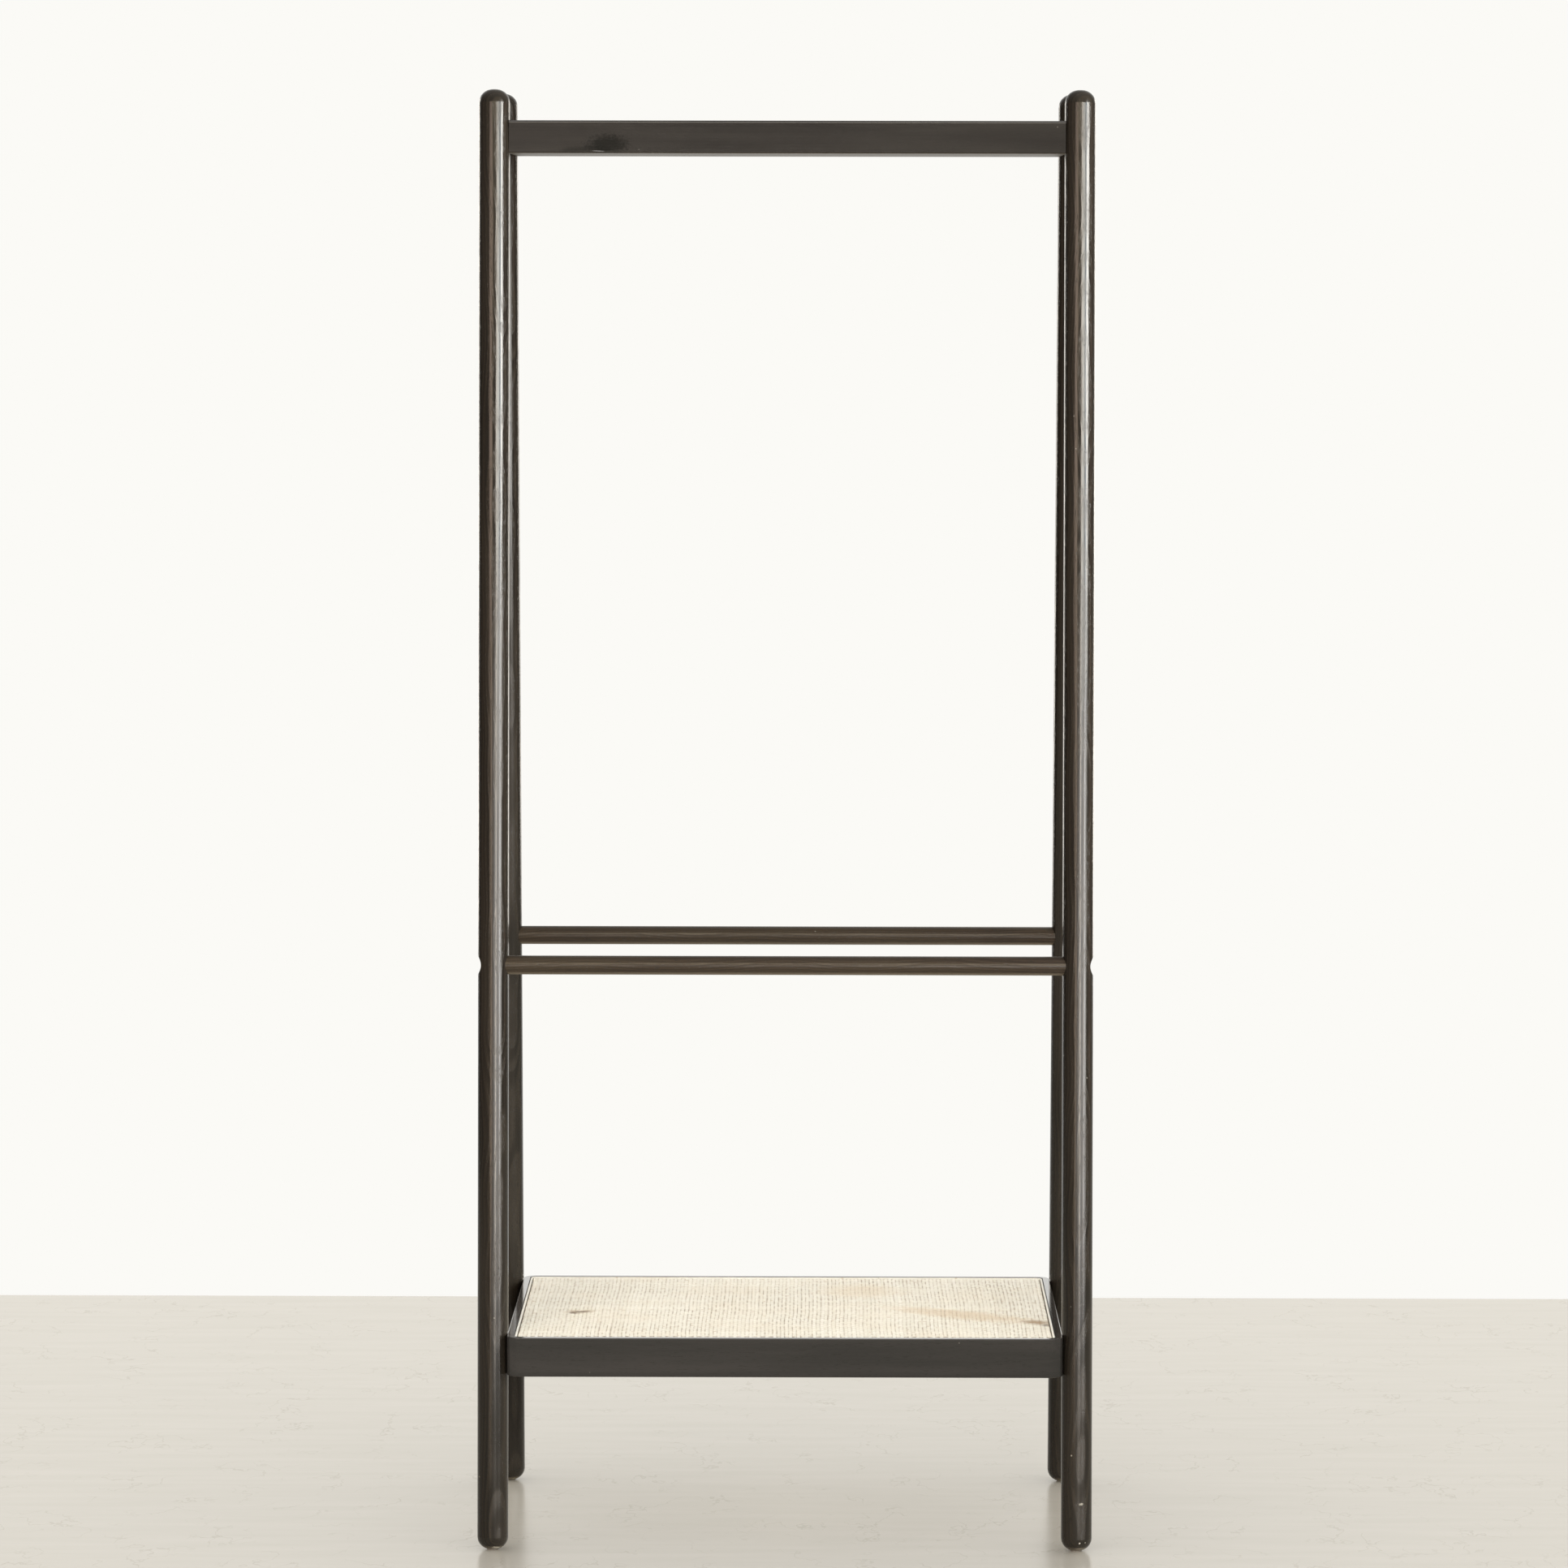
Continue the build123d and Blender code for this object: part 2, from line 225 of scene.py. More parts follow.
def name_receivers(name, pieces, state="INCLUDE"):
    """A collection for light linking: pieces that a lamp lights or, with EXCLUDE, leaves out."""
    receivers = bpy.data.collections.new(name)
    for piece in pieces:
        receivers.objects.link(piece)
    for listed in receivers.collection_objects:
        listed.light_linking.link_state = state
    return receivers


legs_and_bars = [nodes[name] for name in nodes if name.endswith(("_leg", "_crossbar"))]
floor_alone = name_receivers("floor_alone", [floor])
all_but_floor = name_receivers("all_but_floor", [floor], "EXCLUDE")
round_pieces = name_receivers("round_pieces", legs_and_bars)
flat_pieces = name_receivers("flat_pieces", [floor, *legs_and_bars], "EXCLUDE")
print("round pieces:", len(legs_and_bars))

# %% Hang the softbox
SOFTBOX_SIDE = 4.0
SOFTBOX_PLACE = (0, -3.2, 3.6)
SOFTBOX_TILT = 46  # degrees, from facing straight down
SOFTBOX_RADIANCE = 2.76

# Blender wants watts: pi x radiance x area
softbox = bpy.data.lights.new("softbox", "AREA")
softbox.size = SOFTBOX_SIDE
softbox.energy = SOFTBOX_RADIANCE * SOFTBOX_SIDE**2 * pi
softbox_object = link_object("softbox", softbox)
softbox_object.location = SOFTBOX_PLACE
softbox_object.rotation_euler = (radians(SOFTBOX_TILT), 0, 0)
softbox_object.visible_camera = False
softbox_object.light_linking.receiver_collection = flat_pieces
print("softbox in watts:", round(softbox.energy))

# %% Stand the lamps round the stand
LAMP_DISTANCE = 6.5


def add_panel(name, start, end, low, high, radiance, colour, receivers):
    """A standing lamp between two compass angles, in degrees to the right of the camera's side.

    Its ends lie on a circle round the stand, and its watts are pi x radiance x area.
    """
    ends = radians(start), radians(end)
    first, last = (LAMP_DISTANCE * np.array((sin(a), -cos(a))) for a in ends)
    middle, width, height = (first + last) / 2, np.linalg.norm(last - first), high - low
    lamp = bpy.data.lights.new(name, "AREA")
    lamp.shape = "RECTANGLE"
    lamp.size, lamp.size_y = width, height
    lamp.energy = radiance * width * height * pi
    lamp.color = linear(colour)[:3]
    made = link_object(name, lamp)
    made.location = (*middle, (low + high) / 2)
    made.rotation_euler = (pi / 2, 0, atan2(-middle[1], -middle[0]) - pi / 2)
    made.visible_camera = False
    made.light_linking.receiver_collection = receivers
    return made


RING_STEP = 60  # degrees
RING_LIGHT = (1.2, 3.6, 2.2, "#FFF5E5")  # heights in metres, radiance and colour
for start in range(-180, 180, RING_STEP):
    ring = add_panel("floor_light", start, start + RING_STEP, *RING_LIGHT, floor_alone)
    ring.visible_glossy = False

# Heights in metres of the window's sill, of its head, and of the glass above the doors
SILL, HEAD, ABOVE_DOORS = 1.45, 2.7, 4.2
# Name, compass angles, heights, radiance, colour, and what the lamp lights
panels = [
    ("back_left", -157, -145, 0.0, HEAD, 5.5, "#FFF6EA", all_but_floor),
    ("back_right", 145, 157, 0.0, HEAD, 5.5, "#FFF6EA", all_but_floor),
    ("wall_left", -100, -36, 0.0, HEAD, 0.3, "#FFE0D0", all_but_floor),
    ("curtain", -36, -22, SILL, HEAD, 7.3, "#FFE1CD", all_but_floor),
    ("doorway", -22, -13, 0.0, HEAD, 7.4, "#FFE2C8", all_but_floor),
    ("sill_left", -13, 5, 0.0, SILL, 2.9, "#FFF6F0", all_but_floor),
    ("sill_right", 5, 14, 0.0, SILL, 9.6, "#FFFDF8", round_pieces),
    ("pane_narrow", 14, 20, 0.0, HEAD, 28.5, "#FFF3E5", round_pieces),
    ("pane_near_low", 20, 38, 0.0, SILL, 7.7, "#FFFFFF", round_pieces),
    ("pane_near_high", 20, 38, SILL, HEAD, 24.0, "#FFFEF5", round_pieces),
    ("post_low", 38, 44, 0.0, SILL, 11.4, "#FFF0E0", all_but_floor),
    ("post_high", 38, 44, SILL, HEAD, 5.2, "#E8F4FF", all_but_floor),
    ("pane_middle_low", 44, 50, 0.0, SILL, 30.0, "#FFFFFF", round_pieces),
    ("pane_middle_high", 44, 50, SILL, HEAD, 14.0, "#E2F4FF", round_pieces),
    ("pane_far_low", 50, 62, 0.0, SILL, 13.0, "#FFFBF5", round_pieces),
    ("pane_far_high", 50, 68, SILL, HEAD, 43.0, "#FFFCF5", round_pieces),
    ("pane_narrow_top", 14, 20, HEAD, 4.6, 13.0, "#FFF3E5", round_pieces),
    ("pane_far_top", 50, 64, HEAD, 4.8, 15.0, "#FFFCF5", round_pieces),
    ("wall_right", 82, 100, 0.0, HEAD, 0.8, "#FFD0C4", all_but_floor),
    ("transom", -20, 20, HEAD, ABOVE_DOORS, 5.6, "#FFEFD0", all_but_floor),
]
for panel in panels:
    add_panel(*panel)
print("standing lamps:", len(panels), "and a ring of", 360 // RING_STEP)

# %% [markdown]
# ## Stained ash
# Ash has wide growth rings. Each ring begins with a band of large open pores and ends with dense,
# smooth wood. A black-brown stain colours it and a thin satin lacquer follows the pores, so the
# grain shows as fine long pits where light glances off. The rings are circles round a pith line
# beside the piece. On a round leg they come out as straight lines on one side and as long loops on
# the other. Rounding a leg along its length leaves shallow facets, which break a highlight into
# long streaks. Flat pieces are planed and sanded, so their face is far calmer.
#
# A wood pattern wrapped on by its outside would show the same grain on all sides. Cutting the piece
# out of rings in space gives each side the grain that it has in a real length of wood.

# %% Grow the rings
# Pattern widths across the grain and lengths along it, in millimetres, and detail
ASH_NOISES = {
    "wander": (70, 170, 1.0),  # bends the rings
    "pore": (0.8, 7, 2.0),  # real pores are a third as wide and wouldn't show
    "fibre": (0.5, 45, 3.0),
    "cloud": (18, 260, 3.0),  # uneven stain
    "facet": (7.0, 320, 1.0),  # left by rounding the leg
    "streak": (2.2, 150, 1.0),
}
RING_WIDTH = 3.4 * MM


def ash_grain(add, place, turn, pith, rounded):
    """The noises, the share of early wood and the pores, at places turned to the grain's direction.

    The rings are the distance from the pith line, bent by a slow wander and cut into equal steps.
    """
    along = add("Mapping", {"Vector": place, "Location": pith, "Rotation": turn})
    noise = {}
    for key, (width, length, detail) in ASH_NOISES.items():
        scale = (1 / (width * MM), 1 / (width * MM), 1 / (length * MM))
        drawn = add("VectorMath", {0: along, 1: scale}, operation="MULTIPLY")
        noise[key] = add("TexNoise", {"Vector": drawn, "Scale": 1.0, "Detail": detail})
    flat = add("VectorMath", {0: along, 1: (1, 1, 0)}, operation="MULTIPLY")
    radius = add("VectorMath", {0: flat}, out="Value", operation="LENGTH")
    sway = 0.006 + 0.020 * rounded
    bent = add("Math", {0: noise["wander"], 1: sway, 2: radius}, operation="MULTIPLY_ADD")
    ring = add("Math", {0: bent, 1: 1 / RING_WIDTH}, operation="MULTIPLY")
    ring = add("Math", {0: ring}, operation="FRACT")
    # Early wood sets in sharply at the start of a ring and gives way slowly
    rise = add("MapRange", {0: ring, 1: 0.0, 2: 0.18}, interpolation_type="SMOOTHSTEP")
    fall = add("MapRange", {0: ring, 1: 0.30, 2: 0.80}, interpolation_type="SMOOTHSTEP")
    early = add("Math", {0: rise, 1: fall}, operation="SUBTRACT")
    # Open pores lie in the early wood, and a few in the late wood
    pores = add("MapRange", {0: noise["pore"], 1: 0.56, 2: 0.67}, interpolation_type="SMOOTHSTEP")
    share = add("MapRange", {0: early, 3: 0.18, 4: 1.0})
    pores = add("Math", {0: pores, 1: share}, operation="MULTIPLY")
    return noise, early, pores


def mark_reach(add, place, centre, size, turn, ragged, raggedness):
    """Distance from a mark's middle in its own half sizes, made ragged by a noise."""
    mapped = {"Vector": place, "Location": centre, "Rotation": turn, "Scale": size}
    local = add("Mapping", mapped, vector_type="TEXTURE")
    reach = add("VectorMath", {0: local}, out="Value", operation="LENGTH")
    return add("Math", {0: ragged, 1: raggedness, 2: reach}, operation="MULTIPLY_ADD")


print("a board 37 mm thick shows", round(37 * MM / RING_WIDTH), "rings on its edge")

# %% Stain and lacquer them
# The underside's paler colour is partly a thinner stain and partly a painted reflection of the
# floor
FILLED_PORE, UNDERSIDE_STAIN_AND_REFLECTION, PALE_SPECK = "#0B0A08", "#62594B", "#8C8982"


def stained_ash(name, stains, turn, pith, rounded, satin, polish, marks=()):
    """Black-brown stained ash, satin lacquered. turn brings the grain's direction to Z.

    rounded is 1 for a turned piece and near 0 for a planed one, satin is the lacquer's roughness.
    """
    material, add = new_material(name)
    place = add("TexCoord", out="Object")
    noise, early, pores = ash_grain(add, place, turn, pith, rounded)

    dark, light, early_wood = (linear(shade) for shade in stains)
    cloudy = add("MapRange", {0: noise["cloud"], 1: 0.35, 2: 0.65})
    stain = add("Mix", {0: cloudy, 6: dark, 7: light}, **OF_COLOURS)
    early_tint = add("Math", {0: early, 1: 0.1 + 0.25 * rounded}, operation="MULTIPLY")
    stain = add("Mix", {0: early_tint, 6: stain, 7: early_wood}, **OF_COLOURS)
    pore_tint = add("Math", {0: pores, 1: 0.25 + 0.5 * rounded}, operation="MULTIPLY")
    stain = add("Mix", {0: pore_tint, 6: stain, 7: linear(FILLED_PORE)}, **OF_COLOURS)

    # The surface in millimetres: pores cut in, early wood a little low, facets and streaks
    height = add("Math", {0: pores, 1: -0.006 - 0.044 * rounded}, operation="MULTIPLY")
    for value, amount in (
        (early, -0.001 - 0.045 * rounded),
        (noise["fibre"], 0.002 + 0.004 * rounded),
        (noise["facet"], 0.22 * rounded),
        (noise["streak"], 0.02 * rounded),
    ):
        height = add("Math", {0: value, 1: amount, 2: height}, operation="MULTIPLY_ADD")
    bump = add("Bump", {"Height": height, "Strength": 1.0, "Distance": 1.0 * MM})
    gloss = add("MapRange", {0: pores, 3: satin, 4: satin + 0.05 + 0.04 * rounded})
    # Early wood drinks the lacquer and stays duller, which is what draws the rings in a highlight
    gloss = add("Math", {0: early, 1: 0.07 * rounded, 2: gloss}, operation="MULTIPLY_ADD")
    gloss = add("Math", {0: noise["cloud"], 1: 0.06, 2: gloss}, operation="MULTIPLY_ADD")
    # Undersides get one thin coat of stain and no rubbing down, so they stay duller. Their paler
    # colour is partly that thin stain and partly a painted reflection of the floor below them
    facing = add("SeparateXYZ", {0: add("TexCoord", out="Normal")}).node.outputs["Z"]
    below = add("MapRange", {0: facing, 1: -0.6, 2: -0.9})
    gloss = add("Math", {0: below, 1: 0.25, 2: gloss}, operation="MULTIPLY_ADD")
    thin_stain_and_reflection = add("Math", {0: below, 1: 0.8}, operation="MULTIPLY")
    stain = add("Mix", {0: thin_stain_and_reflection, 6: stain, 7: linear(UNDERSIDE_STAIN_AND_REFLECTION)}, **OF_COLOURS)

    # A few pale specks, 1 mm across, in cells of 18 mm
    cell = add("TexVoronoi", {"Vector": place, "Scale": 55.0}).node.outputs
    speck = add("MapRange", {0: cell["Distance"], 1: 0.045, 2: 0.025})
    chosen = add("SeparateXYZ", {0: cell["Color"]}).node.outputs["X"]
    chosen = add("Math", {0: chosen, 1: 0.72}, operation="GREATER_THAN")
    speck = add("Math", {0: speck, 1: chosen}, operation="MULTIPLY")
    speck = add("Math", {0: speck, 1: 0.5}, operation="MULTIPLY")
    stain = add("Mix", {0: speck, 6: stain, 7: linear(PALE_SPECK)}, **OF_COLOURS)

    # Wear: each mark has its own colour and roughness, and an edge frayed by bits of 2 mm
    ragged = add("TexNoise", {"Vector": place, "Scale": 420.0, "Detail": 3.0, "Roughness": 0.6})
    for centre, size, angle, colour, strength, rough in marks:
        reach = mark_reach(add, place, centre, size, (0, angle, 0), ragged, 1.2)
        inside = add("MapRange", {0: reach, 1: 1.6, 2: 1.1, 3: 0.0, 4: strength})
        stain = add("Mix", {0: inside, 6: stain, 7: linear(colour)}, **OF_COLOURS)
        gloss = add("Mix", {0: inside, 2: gloss, 3: rough})

    # Level tops that hands pass over are rubbed and lacquered once more
    above = add("MapRange", {0: facing, 1: 0.80, 2: 0.97, 3: 0.0, 4: polish})
    coat = {"Coat Weight": above, "Coat Roughness": 0.08, "Coat IOR": 1.6}
    surface = {"Base Color": stain, "Roughness": gloss, "IOR": 1.35, "Normal": bump, **coat}
    add("OutputMaterial", {"Surface": add("BsdfPrincipled", surface)})
    return material


print("noises in each length of ash:", ", ".join(ASH_NOISES))

# %% [markdown]
# ## Wooden pieces
# No two pieces are cut from the same place in the tree, so each gets its own pith line, and the
# legs' grain runs a little off their length, each by its own angle. The legs are flat-sawn to the
# front, so the rings come out there as pointed arches. The stain takes differently on turned,
# planed and rubbed wood, and the rubbed shelf's lighter stain is partly a painted reflection of the
# bright floor in front of it. Feet and the board show small chips and rubs from use.

# %% Choose stains and grain
# Stain where it lies thick, where it is thinner, and in early wood
LEG_STAINS = ("#171512", "#211E1A", "#2B261F")
BAR_STAINS = ("#211B16", "#29231B", "#342B22")
BOARD_STAINS = ("#282624", "#302E2B", "#32302D")
# Lighter than the board's: partly the shelf's own stain and partly a painted reflection of the
# floor
SHELF_STAINS_AND_REFLECTION = ("#313130", "#3A3938", "#3B3A38")

LEAN = 3.90  # degrees, of every leg towards the stand's middle plane
ALONG_X, ALONG_Y = (0, radians(90), 0), (radians(90), 0, 0)
# Stains, grain direction, how strongly the face shows facets (turned 1, planed near 0), roughness
wooden_pieces = {
    "front_left_leg": (LEG_STAINS, (radians(LEAN + 0.5), radians(0.4), 0), 1.0, 0.11),
    "front_right_leg": (LEG_STAINS, (radians(LEAN - 0.7), radians(-0.3), 0), 1.0, 0.11),
    "back_left_leg": (LEG_STAINS, (radians(-LEAN + 0.6), radians(0.3), 0), 1.0, 0.11),
    "back_right_leg": (LEG_STAINS, (radians(-LEAN - 0.5), radians(-0.4), 0), 1.0, 0.11),
    "top_rail": (BOARD_STAINS, ALONG_X, 0.05, 0.14),
    "front_crossbar": (BAR_STAINS, ALONG_X, 1.0, 0.15),
    "back_crossbar": (BAR_STAINS, ALONG_X, 1.0, 0.15),
    "shelf_front_rail": (SHELF_STAINS_AND_REFLECTION, ALONG_X, 0.05, 0.12),
    "shelf_back_rail": (SHELF_STAINS_AND_REFLECTION, ALONG_X, 0.05, 0.12),
    "shelf_left_rail": (SHELF_STAINS_AND_REFLECTION, ALONG_Y, 0.05, 0.12),
    "shelf_right_rail": (SHELF_STAINS_AND_REFLECTION, ALONG_Y, 0.05, 0.12),
    "shelf_brace": (SHELF_STAINS_AND_REFLECTION, ALONG_Y, 0.05, 0.20),
}
print("wooden pieces:", len(wooden_pieces))

# %% Place the wear
# Middle, half size, turn, colour, strength and roughness of each rub, chip and scratch
wear_marks = {
    "top_rail": [
        ((-0.203, -0.099, 1.588), (0.028, 0.012, 0.013), 0.0, "#10120F", 0.65, 0.10),
        ((-0.230, -0.099, 1.582), (0.034, 0.012, 0.005), -0.05, "#10120F", 0.4, 0.11),
        ((-0.214, -0.099, 1.5805), (0.009, 0.012, 0.0007), 0.05, "#84868A", 0.5, 0.4),
    ],
    "front_left_leg": [
        ((-0.3265, -0.208, 0.0040), (0.0056, 0.014, 0.0022), 0.15, "#7F7B70", 1.0, 0.6),
        ((-0.3385, -0.208, 0.0025), (0.0040, 0.014, 0.0014), 0.0, "#6B6659", 0.9, 0.6),
        ((-0.3459, -0.208, 0.0840), (0.0012, 0.010, 0.0012), 0.0, "#7F7A6D", 0.8, 0.6),
    ],
    "front_right_leg": [
        ((0.3357, -0.2135, 0.0560), (0.0028, 0.010, 0.0016), -0.1, "#68655D", 1.0, 0.6),
        ((0.3340, -0.2135, 0.0116), (0.0012, 0.010, 0.0012), 0.0, "#8A877F", 1.0, 0.6),
        ((0.3405, -0.2135, 0.0120), (0.0010, 0.010, 0.0010), 0.0, "#5E5B53", 0.8, 0.6),
        ((0.3247, -0.2135, 0.1110), (0.0013, 0.010, 0.0013), 0.0, "#77736A", 0.9, 0.6),
        ((0.3345, -0.208, 0.0040), (0.0065, 0.014, 0.0022), 0.0, "#5F5A50", 0.7, 0.6),
    ],
    "back_left_leg": [
        ((-0.326, 0.190, 0.0025), (0.0070, 0.010, 0.0014), 0.0, "#68624F", 0.8, 0.6),
    ],
    "back_right_leg": [
        ((0.329, 0.190, 0.0025), (0.0060, 0.010, 0.0014), 0.0, "#68624F", 0.8, 0.6),
    ],
}
print("marks:", sum(len(marks) for marks in wear_marks.values()))

# %% Give each wooden piece its own length of wood
LEG_RADIUS = 17.5 * MM
HEART_TO_LEG = (0.021, -0.051)  # from the heart line, behind and to the left, to a leg's middle
rng = np.random.default_rng(7)
for name, (stains, turn, rounded, satin) in wooden_pieces.items():
    pith = rng.uniform((0.03, 0.03, -1), (0.08, 0.08, 1)).tolist()
    if name.endswith("_leg"):
        leg_low, leg_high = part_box(name)
        in_front = name.startswith("front")
        foot_y = leg_low[1] + LEG_RADIUS if in_front else leg_high[1] - LEG_RADIUS
        pith[0] = HEART_TO_LEG[0] - (leg_low[0] + leg_high[0]) / 2
        pith[1] = HEART_TO_LEG[1] - foot_y * cos(radians(LEAN))
    polish = 1.0 if name.startswith("shelf_") else 0.0
    marks = wear_marks.get(name, ())
    wood = stained_ash("stained_ash_" + name, stains, turn, pith, rounded, satin, polish, marks)
    nodes[name].data.materials.clear()
    nodes[name].data.materials.append(wood)
    print(name, "has its pith at", [round(p, 3) for p in pith[:2]])

# %% [markdown]
# ## The woven cane
# Cane is split rattan: the glossy bark of the palm, sawn into flat strands with a slightly domed
# face. The shelf is a close plain weave. Every strand passes over one crossing strand and under the
# next, and its neighbours do the opposite. A picture or a bump of a weave looks flat when light
# grazes it, so each strand is its own closed strip here. Weaving is never quite straight, so both
# sets of strands follow one gently bent grid, and so they still meet at their crossings. At the
# frame the strands turn down into the groove, where the reed holds them.

# %% Lay out the rows
panel_low, panel_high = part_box("cane_panel")
PITCH = 4.5 * MM
STRAND_WIDTH = 3.5 * MM
WEFT_WIDTH = 3.15 * MM
STRAND_THICK = 0.56 * MM
RISE = 0.42 * MM  # how far a strand's middle line rises and falls
TURN_RADIUS = 0.5 * MM
EDGE_GAP = 0.05 * MM  # between the turned-down strands and the panel's edge
WEAVE_Z = panel_high[2] - RISE - STRAND_THICK / 2
half_x = panel_high[0] - STRAND_THICK / 2 - EDGE_GAP
half_y = panel_high[1] - STRAND_THICK / 2 - EDGE_GAP
warp_count = int(2 * half_x / PITCH)
weft_count = int(2 * (half_y - STRAND_WIDTH / 2) / PITCH) + 1
weave_rng = np.random.default_rng(11)
# Where each strand lies: even steps, each a little off
warp_rows = (np.arange(warp_count) - (warp_count - 1) / 2) * PITCH
weft_rows = (np.arange(weft_count) - (weft_count - 1) / 2) * PITCH
warp_rows[1:-1] += weave_rng.normal(0, 0.22 * MM, warp_count - 2).clip(-0.45 * MM, 0.45 * MM)
weft_rows[1:-1] += weave_rng.normal(0, 0.28 * MM, weft_count - 2).clip(-0.6 * MM, 0.6 * MM)
# The groove stops the outermost wefts from being beaten up close, which leaves a row of holes
weft_rows[[0, -1]] += np.array((4.2, -0.9)) * MM
weft_rows[[1, -2]] += np.array((2.4, -0.3)) * MM
weft_rows[2] += 1.0 * MM
print("strands:", warp_count, "and", weft_count)

# %% Bend the grid
FADE_WIDTH = 40 * MM
# Size, length, lean and phase of each wave
wander_x = [
    (0.5 * MM, 0.390, 0.8, 0.4),
    (0.3 * MM, 0.210, -1.3, 2.1),
    (0.16 * MM, 0.110, 2.3, 4.0),
    (0.08 * MM, 0.055, -4.0, 1.2),
]
wander_y = [
    (0.8 * MM, 0.330, 1.4, 0.9),
    (0.5 * MM, 0.170, -2.6, 3.3),
    (0.3 * MM, 0.090, 3.1, 5.2),
    (0.15 * MM, 0.045, -5.0, 0.2),
]


def bend_grid(u, v, waves):
    """A sum of four slow waves along v that lean with u, in metres: the weave's sideways wander."""
    total = 0.0
    for size, length, lean, phase in waves:
        total = total + size * np.sin(2 * pi * (v / length + lean * u) + phase)
    return total


def edge_fade(w, half):
    """1 inside, drawn smoothly down to 0 over the last FADE_WIDTH before an edge."""
    t = np.clip((half - np.abs(w)) / FADE_WIDTH, 0, 1)
    return t * t * (3 - 2 * t)


print("largest wander in mm:", round(sum(size for size, *_ in wander_y) / MM, 2))

# %% Make strips
STEPS = 3  # points on a strand from one crossing to the next
# Across and up, as shares of width and thickness: flat below, domed above, counter-clockwise
STRAND_PROFILE = np.array(
    [(-0.45, -0.5), (0.45, -0.5), (0.5, 0.0), (0.36, 0.38), (0, 0.5), (-0.36, 0.38), (-0.5, 0.0)]
)


def strand_run(half, crossings):
    """Distance along a strand and its drop: level points, a quarter turn down, the cut end."""
    steps = np.arange(-1, (len(crossings) - 1) * STEPS + 2) / STEPS
    level = np.interp(steps, np.arange(len(crossings)), crossings)
    level[[0, -1]] += np.array((-1, 1)) * PITCH / STEPS
    angle = np.radians((10, 35, 60, 90))
    turn = half - TURN_RADIUS + TURN_RADIUS * np.sin(angle)
    drop = TURN_RADIUS * (1 - np.cos(angle))
    depth = WEAVE_Z - panel_low[2] - 0.1 * MM
    run = np.concatenate([[-half], -turn[::-1], level, turn, [half]])
    fall = np.concatenate([[depth], drop[::-1], 0 * level, drop, [depth]])
    return run, fall


def edge_rise(run, half):
    """The weave's rise and fall, faded out over the last half pitch before the turn."""
    return np.clip((half - TURN_RADIUS - np.abs(run)) / (0.5 * PITCH), 0, 1)


def strip_mesh(name, points, where, node):
    """Closed strips from points[strand, step, profile]: quads round the steps, a face each end."""
    strands, steps, sides = points.shape[:3]
    index = np.arange(strands * steps * sides).reshape(strands, steps, sides)
    after = np.roll(index, -1, axis=2)
    quads = np.stack([index[:, :-1], after[:, :-1], after[:, 1:], index[:, 1:]], axis=-1)
    quads = quads.reshape(-1, 4)
    corners = np.concatenate([quads.ravel(), index[:, 0, ::-1].ravel(), index[:, -1].ravel()])
    sizes = np.concatenate([np.full(len(quads), 4), np.full(2 * strands, sides)])
    mesh = bpy.data.meshes.new(name)
    mesh.vertices.add(points.size // 3)
    mesh.vertices.foreach_set("co", points.ravel())
    mesh.loops.add(len(corners))
    mesh.loops.foreach_set("vertex_index", corners)
    mesh.polygons.add(len(sizes))
    mesh.polygons.foreach_set("loop_start", np.concatenate([[0], np.cumsum(sizes)[:-1]]))
    mesh.update(calc_edges=True)
    mesh.shade_smooth()
    own = mesh.attributes.new("strand", "FLOAT_VECTOR", "POINT")
    own.data.foreach_set("vector", where.ravel())
    made = link_object(name, mesh)
    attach(made, "root")
    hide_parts(node)
    return made


print("points on a crossing:", STEPS * len(STRAND_PROFILE))

# %% Weave the strands


